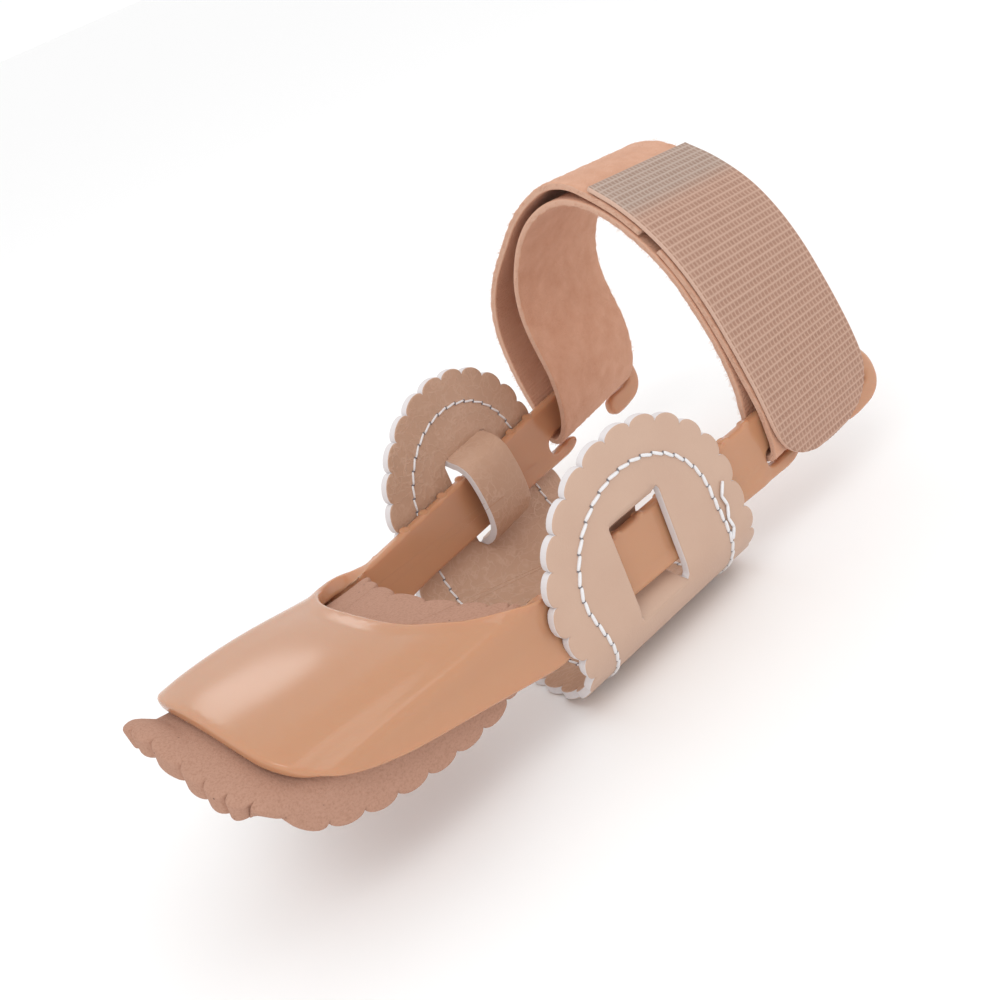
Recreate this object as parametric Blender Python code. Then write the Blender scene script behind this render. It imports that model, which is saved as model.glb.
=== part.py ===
"""Bunion corrector: a moulded toe splint with two arms, a foam toe pad, a leather sling and a foot strap.

Lengths are in millimetres until the meshes are made. Every piece is first laid out in the splint's own
axes: x runs from the toes to the heel, y to the far arm, z up, and z = 0 is the top edge of the arms.
Each sheet is drawn flat as an outline, bent to its real shape by a placing function and given its thickness.
"""
import math

import bpy
import numpy as np
from mathutils import Vector
from mathutils.geometry import delaunay_2d_cdt

MM = 0.001
GAP = 0.35                 # clearance between touching pieces

# Walls
FRAME_WALL = 2.3
PAD_THICK = 4.0
LEATHER = 1.8
STRAP_THICK = 1.4
HOOK_THICK = 1.2

# Splint: shell over the toes and two arms on edge
TOE_LENGTH = 64.5          # shell's front edge to x = 0
TOE_HALF_WIDTH = 23.2
SHELL_CROWN = 8.3
ARM_HEIGHT = 13.6
ARM_SPLAY = 0.086          # outward slope of the arms towards the heel
ARM_START = 0.186 * TOE_LENGTH
ARM_TOP_W = 27.0           # flat coordinate of the arm's top edge
FRAME_GRID = 4.0
NUB_PITCH = 6.0
NUB_RADIUS = 1.0
NUB_COUNT = 8
SHELL_ROUNDNESS = 0.8      # below 1 makes the arch boxier than an ellipse

# Foot strap
STRAP_FRONT = 45.9         # front edge at the centre plane
STRAP_WIDTH = 28.0
STRAP_MID = STRAP_FRONT + STRAP_WIDTH / 2.0    # x at which the strap's paths are drawn
STRAP_RISE = 45.5


def sized(rows, *sizes):
    """Turn a table's shares into lengths, one named size for each column."""
    return tuple(tuple(share * size for share, size in zip(row, sizes)) for row in rows)


def arm_y(x):
    """Distance of the arm's middle surface from the centre plane."""
    return TOE_HALF_WIDTH + ARM_SPLAY * (x + ARM_START)


# x, half width, crown height of the shell's middle surface, as shares
SHELL_SECTIONS = sized((
    (-1.132, 0.845, 1.0), (-1.0, 0.888, 0.952), (-0.868, 0.931, 0.892), (-0.62, 0.966, 0.747),
    (-0.496, 0.978, 0.614), (-0.403, 0.987, 0.506), (-0.31, 0.991, 0.386), (-0.217, 0.996, 0.265),
    (-0.186, 1.0, 0.229),
), TOE_LENGTH, TOE_HALF_WIDTH, SHELL_CROWN)

# x, flat coordinate, as shares: shell's front edge and lower rim, from the centre line outwards
SHELL_EDGE = sized((
    (-1.0, 0.0), (-1.0, 0.148), (-0.998, 0.296), (-0.992, 0.444), (-0.977, 0.578), (-0.952, 0.711),
    (-0.918, 0.844), (-0.878, 0.97), (-0.806, 1.059), (-0.744, 1.111), (-0.682, 1.156), (-0.574, 1.222),
    (-0.465, 1.289), (-0.341, 1.37), (-0.248, 1.43), (-0.171, 1.452), (-0.078, 1.433),
), TOE_LENGTH, ARM_TOP_W)

# x, z, as shares: lower edge of an arm up to the strap slot
ARM_UNDERSIDE = sized((
    (0.0, -0.853), (0.175, -0.875), (0.349, -0.897), (0.524, -0.919), (0.697, -0.941), (0.872, -0.971),
), STRAP_FRONT, ARM_HEIGHT)

# distance behind the strap's front edge, z, as shares: slot with its open lower bar, and the arm's end
ARM_SLOT = sized((
    (0.004, -0.993), (0.132, -1.0), (0.203, -0.971), (0.246, -0.904), (0.246, -0.846), (0.211, -0.809),
    (0.075, -0.801), (-0.025, -0.801), (-0.053, -0.772), (-0.064, -0.706), (-0.064, -0.64),
    (-0.05, -0.581), (-0.019, -0.551), (0.217, -0.551), (0.504, -0.551), (0.789, -0.551), (1.036, -0.551),
    (1.064, -0.581), (1.078, -0.64), (1.078, -0.706), (1.064, -0.772), (1.024, -0.801), (0.897, -0.801),
    (0.811, -0.809), (0.769, -0.853), (0.754, -0.941), (0.763, -1.044), (0.803, -1.118), (0.868, -1.14),
    (1.005, -1.132), (1.104, -1.096), (1.172, -1.0), (1.204, -0.868), (1.204, -0.706), (1.178, -0.515),
    (1.124, -0.338), (1.047, -0.176), (0.953, -0.059), (0.845, 0.0), (0.504, 0.0),
), STRAP_WIDTH, ARM_HEIGHT)

# x, flat coordinate, as shares: rear lip of the shell, from the arm to the centre line
SHELL_LIP = sized((
    (-0.124, 1.0), (-0.186, 0.993), (-0.233, 0.941), (-0.285, 0.83), (-0.344, 0.681), (-0.4, 0.533),
    (-0.443, 0.385), (-0.473, 0.244), (-0.487, 0.119), (-0.49, 0.0),
), TOE_LENGTH, ARM_TOP_W)

# The toe end is slightly twisted: its far front corner stands higher, further back and further out
TWIST_X = 3.5
TWIST_Y = 1.5
TWIST_Z = 2.6
TWIST_START = 0.248 * TOE_LENGTH
TWIST_RUN = 0.713 * TOE_LENGTH
TWIST_SIDE = 0.862 * TOE_HALF_WIDTH

# Toe pad under the shell
PAD_TOP_W = ARM_TOP_W - 3.0    # flat coordinate where the pad's sides turn straight down
PAD_BASE_Z = -2.0
PAD_FRONT_LIFT = 3.5       # how much flatter the pad lies at its front edge
PAD_LIFT_START = 0.938 * TOE_LENGTH
PAD_LIFT_RUN = 0.14 * TOE_LENGTH
PAD_CORNER_LIFT = 2.4      # how much its far front corner curls up past the shell
PAD_CORNER_START = 1.02 * TOE_LENGTH
PAD_CORNER_RUN = 0.07 * TOE_LENGTH
PAD_ROUNDNESS = 0.88
PAD_GRID = 4.6
# x, flat coordinate, as shares: edge of the pad to the scallop valleys
PAD_EDGE = sized((
    (-1.088, 0.0), (-1.088, 0.25), (-1.088, 0.458), (-1.079, 0.65), (-1.06, 0.817), (-1.03, 0.979),
    (-0.98, 1.105), (-0.905, 1.195), (-0.828, 1.275), (-0.698, 1.358), (-0.558, 1.405), (-0.426, 1.405),
    (-0.327, 1.317), (-0.262, 1.125), (-0.248, 0.875), (-0.268, 0.625), (-0.292, 0.375), (-0.31, 0.125),
    (-0.313, 0.0),
), TOE_LENGTH, PAD_TOP_W)

# Scallops on the pad and the sling
SCALLOP_PITCH = 6.0
SCALLOP_DEPTH = 1.5
SCALLOP_STEPS = (0.0, 0.1, 0.34, 0.66, 0.9)

# Leather sling
SLING_GRID = 4.2
SLING_X = 18.0             # centre of the sling's bottom
SLING_DEPTH = 28.6
SLING_CORNER_Y = 20.0      # width and height of the round bottom corners
SLING_CORNER_Z = 16.0
OUTSIDE_ARM = (FRAME_WALL + LEATHER) / 2.0 + GAP
SLING_FLAT = arm_y(SLING_X) + OUTSIDE_ARM - SLING_CORNER_Y    # flat coordinate where the bottom turns up
CORNER_LENGTH = math.pi / 2.0 * math.hypot(SLING_CORNER_Y, SLING_CORNER_Z) / math.sqrt(2.0)
FLAP_RISE = 8.8            # centre of a flap's round end above the corner
FLAP_LENGTH = SLING_FLAT + CORNER_LENGTH + FLAP_RISE
FLAP_HALF_WIDTH = 22.2
# flat coordinate along the sling (near tip negative), centre line x, half width to the scallop valleys,
# as shares
SLING_SPINE = sized((
    (-0.938, 0.522, 1.0), (-0.661, 0.656, 0.968), (-0.33, 0.833, 0.959), (0.0, 1.0, 0.955),
    (0.33, 1.078, 1.0), (0.661, 1.156, 1.005), (1.0, 1.194, 0.977),
), FLAP_LENGTH, SLING_X, FLAP_HALF_WIDTH)
SLIT_WIDTH = 0.8
# x of the two slits in each flap
NEAR_STRIP = (SLING_X - 0.662 * FLAP_HALF_WIDTH, SLING_X - 0.122 * FLAP_HALF_WIDTH)
FAR_STRIP = (SLING_X - 0.032 * FLAP_HALF_WIDTH, SLING_X + 0.554 * FLAP_HALF_WIDTH)
# part of the way down the slits, distance outwards from the arm's middle, z, as shares:
# the strip passes inside the arm
STRIP_PATH = sized((
    (0.0, 1.0, 0.287), (0.1, 0.25, 0.235), (0.2, -0.542, 0.191), (0.31, -1.292, 0.066),
    (0.45, -1.75, -0.206), (0.6, -1.917, -0.471), (0.74, -1.875, -0.706), (0.84, -1.542, -0.897),
    (0.93, -0.5, -1.074), (1.0, 0.917, -1.169),
), 1.0, OUTSIDE_ARM, ARM_HEIGHT)

# Routes of the foot strap and the hook tape
STRAP_SKEW = 0.045         # the band runs slightly towards the heel on the far side
STRAP_LEAN = 0.0029        # share of its height that the arch loses per mm towards the heel
SLOT_Y = arm_y(STRAP_MID)
SLOT_TURN_Z = -0.537 * ARM_HEIGHT
SLOT_TURN_R = (FRAME_WALL + STRAP_THICK) / 2.0 + GAP
# y, z, as shares, of the strap's middle, from its welded end over the top and down the far side
STRAP_FAR_OUTER = sized((
    (-0.593, 0.778), (-0.433, 0.87), (-0.252, 0.943), (-0.102, 0.989), (0.085, 1.0), (0.3, 0.958),
    (0.531, 0.875), (0.777, 0.738), (0.967, 0.611), (1.09, 0.488), (1.151, 0.363), (1.161, 0.224),
    (1.138, 0.088), (1.097, -0.033),
), SLOT_Y, STRAP_RISE)
STRAP_INNER = sized((
    (0.916, -0.176), (0.858, -0.123), (0.811, -0.044), (0.783, 0.055), (0.78, 0.154), (0.804, 0.253),
    (0.824, 0.352), (0.821, 0.453), (0.777, 0.563), (0.691, 0.668), (0.572, 0.765), (0.416, 0.848),
    (0.204, 0.912), (0.0, 0.932), (-0.215, 0.901), (-0.395, 0.837), (-0.548, 0.749), (-0.647, 0.677),
    (-0.729, 0.596), (-0.817, 0.462), (-0.892, 0.312), (-0.93, 0.176), (-0.937, 0.088), (-0.926, 0.011),
    (-0.926, -0.066),
), SLOT_Y, STRAP_RISE)
STRAP_NEAR_OUTER = sized((
    (-1.076, -0.066), (-1.069, 0.011), (-1.049, 0.075), (-1.008, 0.18), (-0.95, 0.323), (-0.872, 0.477),
    (-0.773, 0.618), (-0.695, 0.701),
), SLOT_Y, STRAP_RISE)
HOOK_PATH = sized((
    (-0.283, 0.974), (-0.467, 0.899), (-0.634, 0.804), (-0.739, 0.723), (-0.824, 0.635), (-0.926, 0.492),
    (-1.005, 0.334), (-1.066, 0.187), (-1.107, 0.066), (-1.134, -0.055), (-1.138, -0.275),
), SLOT_Y, STRAP_RISE)
HOOK_END_ROUND = 12.0

# name: base colour, roughness
MATERIALS = {
    "peach_plastic": ((0.62, 0.33, 0.195), 0.28),
    "toe_foam": ((0.515, 0.283, 0.195), 0.85),
    "beige_leather": ((0.597, 0.43, 0.33), 0.5),
    "loop_pile": ((0.546, 0.262, 0.162), 0.95),
    "hook_tape": ((0.61, 0.376, 0.262), 0.75),
}


def table_value(table, x, column):
    """Linear value of one column of a table whose first column rises."""
    return float(np.interp(x, [row[0] for row in table], [row[column] for row in table]))


def smooth_step(t):
    """Ease from 0 to 1."""
    t = min(max(t, 0.0), 1.0)
    return t * t * (3.0 - 2.0 * t)


def arch_point(x, w, top_w, half_width, crown, base, roundness):
    """Point of an arched sheet: over the crown up to top_w, then straight down."""
    side = 1.0 if w >= 0 else -1.0
    if abs(w) >= top_w:
        return side * half_width, base - (abs(w) - top_w)
    angle = abs(w) / top_w * math.pi / 2.0
    y = half_width * math.sin(angle) ** roundness
    z = base + (crown - base) * math.cos(angle) ** roundness
    return side * y, z


def twisted(x, y, z):
    """Move a point of the toe end by its share of the twist."""
    weight = smooth_step((-x - TWIST_START) / TWIST_RUN) * min(max((y / TWIST_SIDE + 1.0) / 2.0, 0.0), 1.2)
    return x + TWIST_X * weight, y + TWIST_Y * weight, z + TWIST_Z * weight


def place_frame(x, w):
    """Splint: arch over the toes that runs on into the two arms."""
    if x >= SHELL_SECTIONS[-1][0]:
        half_width = arm_y(x)
    else:
        half_width = table_value(SHELL_SECTIONS, x, 1)
    crown = table_value(SHELL_SECTIONS, x, 2)
    y, z = arch_point(x, w, ARM_TOP_W, half_width, crown, 0.0, SHELL_ROUNDNESS)
    return twisted(x, y, z)


def place_pad(x, w):
    """Toe pad: a smaller arch under the shell, with straight sides that reach below the shell's rim."""
    drop = FRAME_WALL / 2.0 + GAP + PAD_THICK / 2.0
    half_width = table_value(SHELL_SECTIONS, x, 1) - drop
    crown = table_value(SHELL_SECTIONS, x, 2) - drop
    base = PAD_BASE_Z + PAD_FRONT_LIFT * smooth_step((-x - PAD_LIFT_START) / PAD_LIFT_RUN)
    y, z = arch_point(x, w, PAD_TOP_W, half_width, crown, base, PAD_ROUNDNESS)
    far = smooth_step(y / half_width + 0.3)
    curl = PAD_CORNER_LIFT * far * smooth_step((-x - PAD_CORNER_START) / PAD_CORNER_RUN)
    return twisted(x, y, z + curl)


def sling_end(z):
    """Flat coordinate of the height z on a flap, as if it were upright down to the bottom corner."""
    return SLING_FLAT + CORNER_LENGTH + (z - sling_mid_z() - SLING_CORNER_Z)


def sling_mid_z():
    """Height of the leather's middle surface at the bottom."""
    return LEATHER / 2.0 - SLING_DEPTH


def strip_of(s):
    """Slit positions of the flap at flat coordinate s."""
    return NEAR_STRIP if s < 0 else FAR_STRIP


def place_sling(x, s):
    """Sling: flat bottom, round corners and flaps outside the arms, with a strip inside each arm."""
    side = 1.0 if s >= 0 else -1.0
    reach = arm_y(x) + STRIP_PATH[0][1]
    along = abs(s)
    first, last = strip_of(s)
    top, bottom = sling_end(STRIP_PATH[0][2]), sling_end(STRIP_PATH[-1][2])
    if first < x < last and bottom < along < top:
        part = (top - along) / (top - bottom)
        offset = table_value(STRIP_PATH, part, 1)
        return x, side * (arm_y(x) + offset), table_value(STRIP_PATH, part, 2)
    if along <= SLING_FLAT:
        return x, side * along / SLING_FLAT * (reach - SLING_CORNER_Y), sling_mid_z()
    if along <= SLING_FLAT + CORNER_LENGTH:
        angle = (along - SLING_FLAT) / CORNER_LENGTH * math.pi / 2.0
        y = reach - SLING_CORNER_Y + SLING_CORNER_Y * math.sin(angle)
        return x, side * y, sling_mid_z() + SLING_CORNER_Z * (1.0 - math.cos(angle))
    z = sling_mid_z() + SLING_CORNER_Z + along - SLING_FLAT - CORNER_LENGTH
    return x, side * reach, z


def turn_points(centre_y, steps):
    """Part of a half circle under the slot's upper bar, from the side with the larger y."""
    points = []
    for step in range(steps):
        angle = math.pi * step / 6.0
        y = centre_y + SLOT_TURN_R * math.cos(angle)
        points.append((y, SLOT_TURN_Z - SLOT_TURN_R * math.sin(angle)))
    return points


def smooth_path(points):
    """Catmull-Rom curve with one added point between each two."""
    out = []
    for i in range(len(points) - 1):
        p0 = np.array(points[max(i - 1, 0)])
        p1 = np.array(points[i])
        p2 = np.array(points[i + 1])
        p3 = np.array(points[min(i + 2, len(points) - 1)])
        out.append(tuple(p1))
        out.append(tuple((9.0 * (p1 + p2) - p0 - p3) / 16.0))
    out.append(tuple(points[-1]))
    return out


def path_stations(path):
    """Distance of each path point from the path's start."""
    steps = [math.dist(a, b) for a, b in zip(path, path[1:])]
    return [0.0] + [float(s) for s in np.cumsum(steps)]


def strap_path():
    """The strap's whole way: weld, far outside, far slot, over the inside, near slot, near outside."""
    far_turn = turn_points(SLOT_Y, 5)
    near_turn = [(-y, z) for y, z in reversed(turn_points(SLOT_Y, 7))]
    return smooth_path(list(STRAP_FAR_OUTER) + far_turn + list(STRAP_INNER) + near_turn + list(STRAP_NEAR_OUTER))


def place_on_path(path, stations):
    """Placing function for a band that follows a path drawn at STRAP_MID."""
    ys = [p[0] for p in path]
    zs = [p[1] for p in path]

    def place(x, s):
        y = float(np.interp(s, stations, ys))
        z = float(np.interp(s, stations, zs))
        away = x - STRAP_MID
        side = 1.0 if y >= 0 else -1.0
        y += side * ARM_SPLAY * away * min(1.0, abs(y) / (0.68 * SLOT_Y))
        z -= STRAP_LEAN * away * max(z, 0.0)
        return x + STRAP_SKEW * y, y, z

    return place


def inside(polygon, points):
    """True for each point inside the polygon."""
    poly = np.array(polygon)
    pts = np.array(points)
    result = np.zeros(len(pts), dtype=bool)
    ahead = np.roll(poly, -1, axis=0)
    for (x1, y1), (x2, y2) in zip(poly, ahead):
        crosses = (y1 > pts[:, 1]) != (y2 > pts[:, 1])
        if y1 != y2:
            at = x1 + (pts[:, 1] - y1) * (x2 - x1) / (y2 - y1)
            result ^= crosses & (pts[:, 0] < at)
    return result


def edge_distance(polygon, points):
    """Distance of each point from the polygon's line."""
    poly = np.array(polygon)
    pts = np.array(points)
    best = np.full(len(pts), 1e9)
    for a, b in zip(poly, np.roll(poly, -1, axis=0)):
        along = b - a
        t = np.clip(((pts - a) @ along) / max(along @ along, 1e-12), 0.0, 1.0)
        best = np.minimum(best, np.linalg.norm(pts - a - t[:, None] * along, axis=1))
    return best


def fill_points(outline, holes, step, extra=()):
    """Points in staggered rows inside an outline and clear of its edges, after the wanted extra ones."""
    poly = np.array(outline)
    low, high = poly.min(axis=0), poly.max(axis=0)
    grid = []
    for row, v in enumerate(np.arange(low[1] + step / 2.0, high[1], step * 0.87)):
        for u in np.arange(low[0] + step * (0.25 + 0.5 * (row % 2)), high[0], step):
            grid.append((float(u), float(v)))
    keep = inside(outline, grid) & (edge_distance(outline, grid) > step * 0.45)
    for hole in holes:
        keep &= ~inside(hole, grid) & (edge_distance(hole, grid) > step * 0.45)
    if len(extra):
        wanted = np.array(extra)
        gaps = np.linalg.norm(np.array(grid)[:, None] - wanted[None], axis=2).min(axis=1)
        keep &= gaps > step * 0.55
    return list(extra) + [p for p, ok in zip(grid, keep) if ok]


def flat_triangles(outline, holes, fill):
    """Triangulate an outline with holes; returns the flat points and the triangles, counter-clockwise."""
    points = []
    edges = []
    for loop in [outline] + list(holes):
        start = len(points)
        points += [tuple(p) for p in loop]
        edges += [(start + i, start + (i + 1) % len(loop)) for i in range(len(loop))]
    points += [tuple(p) for p in fill]
    result = delaunay_2d_cdt([Vector(p) for p in points], edges, [], 0, 1e-6)
    flat = [(v.x, v.y) for v in result[0]]
    triangles = [tuple(face) for face in result[2] if len(face) == 3]
    centres = [tuple(np.mean([flat[i] for i in tri], axis=0)) for tri in triangles]
    keep = inside(outline, centres)
    for hole in holes:
        keep &= ~inside(hole, centres)
    chosen = []
    for tri, ok in zip(triangles, keep):
        if ok:
            (x0, y0), (x1, y1), (x2, y2) = (flat[i] for i in tri)
            turn = (x1 - x0) * (y2 - y0) - (x2 - x0) * (y1 - y0)
            if abs(turn) > 1e-7:
                chosen.append(tri if turn > 0 else (tri[0], tri[2], tri[1]))
    return flat, chosen


def point_normals(points, triangles):
    """Area-weighted normals of the bent sheet."""
    normals = np.zeros_like(points)
    for a, b, c in triangles:
        n = np.cross(points[b] - points[a], points[c] - points[a])
        normals[a] += n
        normals[b] += n
        normals[c] += n
    lengths = np.linalg.norm(normals, axis=1)
    lengths[lengths == 0] = 1.0
    return normals / lengths[:, None]


def material(name):
    """Principled material with the piece's colour."""
    colour, roughness = MATERIALS[name]
    mat = bpy.data.materials.get(name) or bpy.data.materials.new(name)
    mat.use_nodes = True
    shader = mat.node_tree.nodes["Principled BSDF"]
    shader.inputs["Base Color"].default_value = (*colour, 1.0)
    shader.inputs["Roughness"].default_value = roughness
    shader.inputs["Metallic"].default_value = 0.0
    return mat


def sheet_solid(name, slot, outline, holes, fill, place, thick):
    """One closed body: a flat outline bent by place() and given its thickness about the middle surface."""
    flat, triangles = flat_triangles(outline, holes, fill)
    used = sorted({i for tri in triangles for i in tri})
    renumber = {old: new for new, old in enumerate(used)}
    triangles = [tuple(renumber[i] for i in tri) for tri in triangles]
    middle = np.array([place(*flat[i]) for i in used])
    normals = point_normals(middle, triangles)
    upper = middle + normals * thick / 2.0
    lower = middle - normals * thick / 2.0
    count = len(middle)
    faces = list(triangles)
    faces += [(c + count, b + count, a + count) for a, b, c in triangles]
    directed = {(t[i], t[(i + 1) % 3]) for t in triangles for i in range(3)}
    for a, b in sorted(directed):
        if (b, a) not in directed:
            faces.append((b, a, a + count))
            faces.append((b, a + count, b + count))
    mesh = bpy.data.meshes.new(name)
    mesh.from_pydata([tuple(p * MM) for p in np.vstack([upper, lower])], [], faces)
    mesh.validate()
    mesh.materials.append(material(slot))
    for polygon in mesh.polygons:
        polygon.use_smooth = True
    obj = bpy.data.objects.new(name, mesh)
    bpy.context.scene.collection.objects.link(obj)
    return obj


def mirrored(half):
    """Closed outline from its far half, which starts and ends on the centre line."""
    near = [(x, -w) for x, w in reversed(half) if w > 0]
    return list(half) + near


def anticlockwise(outline):
    """The same outline, running anticlockwise."""
    area = sum(a[0] * b[1] - b[0] * a[1] for a, b in zip(outline, outline[1:] + outline[:1]))
    return outline if area > 0 else outline[::-1]


def arm_top_edge():
    """Top edge of an arm from the heel forwards, with its half-round nubs, as x and flat coordinate."""
    points = []
    for nub in reversed(range(NUB_COUNT)):
        for degrees in (0, 45, 90, 135, 180):
            angle = math.radians(degrees)
            rise = NUB_RADIUS * math.sin(angle)
            points.append((nub * NUB_PITCH + NUB_RADIUS * math.cos(angle), ARM_TOP_W - rise))
    return points


def splint_frame():
    """Toe shell, lip and both arms in one moulding."""
    lower = [(x, ARM_TOP_W - z) for x, z in ARM_UNDERSIDE]
    lower += [(STRAP_FRONT + x, ARM_TOP_W - z) for x, z in ARM_SLOT]
    half = list(SHELL_EDGE) + lower + arm_top_edge() + list(SHELL_LIP)
    outline = anticlockwise(mirrored(half))
    fill = fill_points(outline, [], FRAME_GRID)
    return sheet_solid("splint_frame", "peach_plastic", outline, [], fill, place_frame, FRAME_WALL)


def resampled(outline, count):
    """The closed outline as evenly spaced points and their outward directions."""
    loop = np.array(outline + outline[:1])
    lengths = np.linalg.norm(np.diff(loop, axis=0), axis=1)
    stations = np.concatenate([[0.0], np.cumsum(lengths)])
    at = np.linspace(0.0, stations[-1], count, endpoint=False)
    points = np.stack([np.interp(at, stations, loop[:, k]) for k in (0, 1)], axis=1)
    tangent = np.roll(points, -3, axis=0) - np.roll(points, 3, axis=0)
    tangent /= np.linalg.norm(tangent, axis=1)[:, None]
    return points, np.stack([tangent[:, 1], -tangent[:, 0]], axis=1)


def scalloped(outline):
    """Add round scallops outside an anticlockwise outline."""
    length = sum(math.dist(a, b) for a, b in zip(outline, outline[1:] + outline[:1]))
    lobes = round(length / SCALLOP_PITCH)
    fine = 50
    points, outward = resampled(outline, lobes * fine)
    edge = []
    for lobe in range(lobes):
        for share in SCALLOP_STEPS:
            i = lobe * fine + round(share * fine)
            rise = SCALLOP_DEPTH * math.sqrt(max(0.0, 1.0 - (2.0 * share - 1.0) ** 2))
            edge.append(tuple(float(c) for c in points[i] + outward[i] * rise))
    return edge


def toe_pad():
    """Foam pad under the shell, standing out past its front and sides."""
    outline = scalloped(anticlockwise(mirrored(list(PAD_EDGE))))
    fill = fill_points(outline, [], PAD_GRID)
    return sheet_solid("toe_pad", "toe_foam", outline, [], fill, place_pad, PAD_THICK)


def sling_outline():
    """Long outline of the sling with round ends."""
    rows = np.linspace(SLING_SPINE[0][0], SLING_SPINE[-1][0], 41)
    rear = [(table_value(SLING_SPINE, s, 1) + table_value(SLING_SPINE, s, 2), float(s)) for s in rows]
    front = [(table_value(SLING_SPINE, s, 1) - table_value(SLING_SPINE, s, 2), float(s)) for s in rows]
    ends = []
    for end, (s, centre, radius) in ((1.0, SLING_SPINE[-1]), (-1.0, SLING_SPINE[0])):
        arc = []
        for degrees in range(6, 180, 6):
            angle = math.radians(degrees)
            arc.append((centre + end * radius * math.cos(angle), s + end * radius * math.sin(angle)))
        ends.append(arc)
    return rear + ends[0] + front[::-1] + ends[1]


def slit_holes():
    """Two slits in each flap, with a point on both sides for each row of the strip's path."""
    holes = []
    strip_points = []
    top, bottom = sling_end(STRIP_PATH[0][2]), sling_end(STRIP_PATH[-1][2])
    for side, strip in ((-1.0, NEAR_STRIP), (1.0, FAR_STRIP)):
        rows = [side * (top + (bottom - top) * row[0]) for row in STRIP_PATH]
        for x in strip:
            inner = 1.0 if x == strip[0] else -1.0
            left = [(x - inner * SLIT_WIDTH / 2.0, s) for s in rows[1:-1]]
            right = [(x + inner * SLIT_WIDTH / 2.0, s) for s in rows[1:-1]]
            hole = [(x, rows[0])] + left + [(x, rows[-1])] + right[::-1]
            holes.append(hole)
        first, last = strip
        for s in rows:
            for share in (0.3, 0.7):
                strip_points.append((first + (last - first) * share, s))
    return holes, strip_points


def bunion_sling():
    """Scalloped leather sling threaded over both arms."""
    outline = scalloped(anticlockwise(sling_outline()))
    holes, strip_points = slit_holes()
    fill = fill_points(outline, holes, SLING_GRID, strip_points)
    return sheet_solid("bunion_sling", "beige_leather", outline, holes, fill, place_sling, LEATHER)


def band_outline(stations, first, last):
    """Straight band outline with a point at every station along both edges."""
    return [(last, s) for s in stations] + [(first, s) for s in reversed(stations)]


def foot_strap():
    """Loop strap through both slots."""
    path = strap_path()
    stations = path_stations(path)
    first, last = STRAP_FRONT, STRAP_FRONT + STRAP_WIDTH
    outline = anticlockwise(band_outline(stations, first, last))
    third = STRAP_WIDTH / 3.0
    fill = [(first + third * k, s) for s in stations for k in (1, 2)]
    return sheet_solid("foot_strap", "loop_pile", outline, [], fill, place_on_path(path, stations), STRAP_THICK)


def hook_tab():
    """Hook tape from the weld over the near side, with a round end."""
    path = smooth_path(smooth_path(list(HOOK_PATH)))
    stations = path_stations(path)
    first, last = STRAP_FRONT, STRAP_FRONT + STRAP_WIDTH
    length = stations[-1]
    straight = [s for s in stations if s < length - HOOK_END_ROUND - 0.5]
    half = STRAP_WIDTH / 2.0
    arc = []
    for degrees in range(0, 181, 12):
        angle = math.radians(degrees)
        flatness = math.copysign(abs(math.cos(angle)) ** 0.8, math.cos(angle))
        rise = math.sin(angle) ** 0.8 if 0 < degrees < 180 else 0.0
        arc.append((first + half + half * flatness, length - HOOK_END_ROUND + HOOK_END_ROUND * rise))
    outline = [(last, s) for s in straight] + arc + [(first, s) for s in reversed(straight)]
    outline = anticlockwise(outline)
    fill = [(first + half * k, s) for s in stations[1:-2] for k in (0.6, 1.4)]
    fill = [p for p, ok in zip(fill, edge_distance(outline, fill) > 1.2) if ok]
    return sheet_solid("hook_tab", "hook_tape", outline, [], fill, place_on_path(path, stations), HOOK_THICK)


def move_to_rest(objects):
    """Put the sling's flat bottom on z = 0 and the whole part's box over the origin."""
    corners = np.array([tuple(v.co) for obj in objects for v in obj.data.vertices])
    low, high = corners.min(axis=0), corners.max(axis=0)
    shift = Vector((-(low[0] + high[0]) / 2.0, -(low[1] + high[1]) / 2.0, -low[2]))
    for obj in objects:
        for vertex in obj.data.vertices:
            vertex.co += shift


def main():
    for obj in list(bpy.data.objects):
        bpy.data.objects.remove(obj, do_unlink=True)
    move_to_rest([splint_frame(), toe_pad(), bunion_sling(), foot_strap(), hook_tab()])


main()
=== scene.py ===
"""Dressed view of the bunion corrector: fine surfaces, stitching, hook tape, foam and studio light.

Lengths are in millimetres until the meshes are made. Each sheet is drawn flat, bent by a placing function in
the splint's own axes, given its thickness and rounded edges, and moved to the row's frame by SHIFT.
"""

import math

import bpy
import numpy as np
from mathutils import Matrix, Vector
from mathutils.geometry import delaunay_2d_cdt


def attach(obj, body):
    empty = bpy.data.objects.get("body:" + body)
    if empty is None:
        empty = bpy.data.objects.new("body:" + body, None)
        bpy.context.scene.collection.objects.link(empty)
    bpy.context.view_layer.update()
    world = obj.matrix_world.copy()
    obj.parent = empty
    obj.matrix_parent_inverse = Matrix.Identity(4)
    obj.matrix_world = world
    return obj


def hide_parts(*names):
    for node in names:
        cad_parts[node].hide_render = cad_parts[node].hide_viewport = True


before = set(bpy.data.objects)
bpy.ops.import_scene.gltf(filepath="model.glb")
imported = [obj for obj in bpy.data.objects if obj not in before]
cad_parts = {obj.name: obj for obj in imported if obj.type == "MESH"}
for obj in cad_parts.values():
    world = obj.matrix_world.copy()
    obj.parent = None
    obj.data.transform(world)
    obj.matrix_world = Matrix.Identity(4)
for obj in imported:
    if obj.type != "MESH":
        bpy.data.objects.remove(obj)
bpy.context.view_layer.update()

MM = 0.001
SHIFT = np.array([-4.305, -0.440, 28.6])
GAP = 0.35

# Walls
FRAME_WALL = 2.3
PAD_THICK = 4.0
LEATHER = 1.8
STRAP_THICK = 1.4
HOOK_THICK = 1.2

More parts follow.
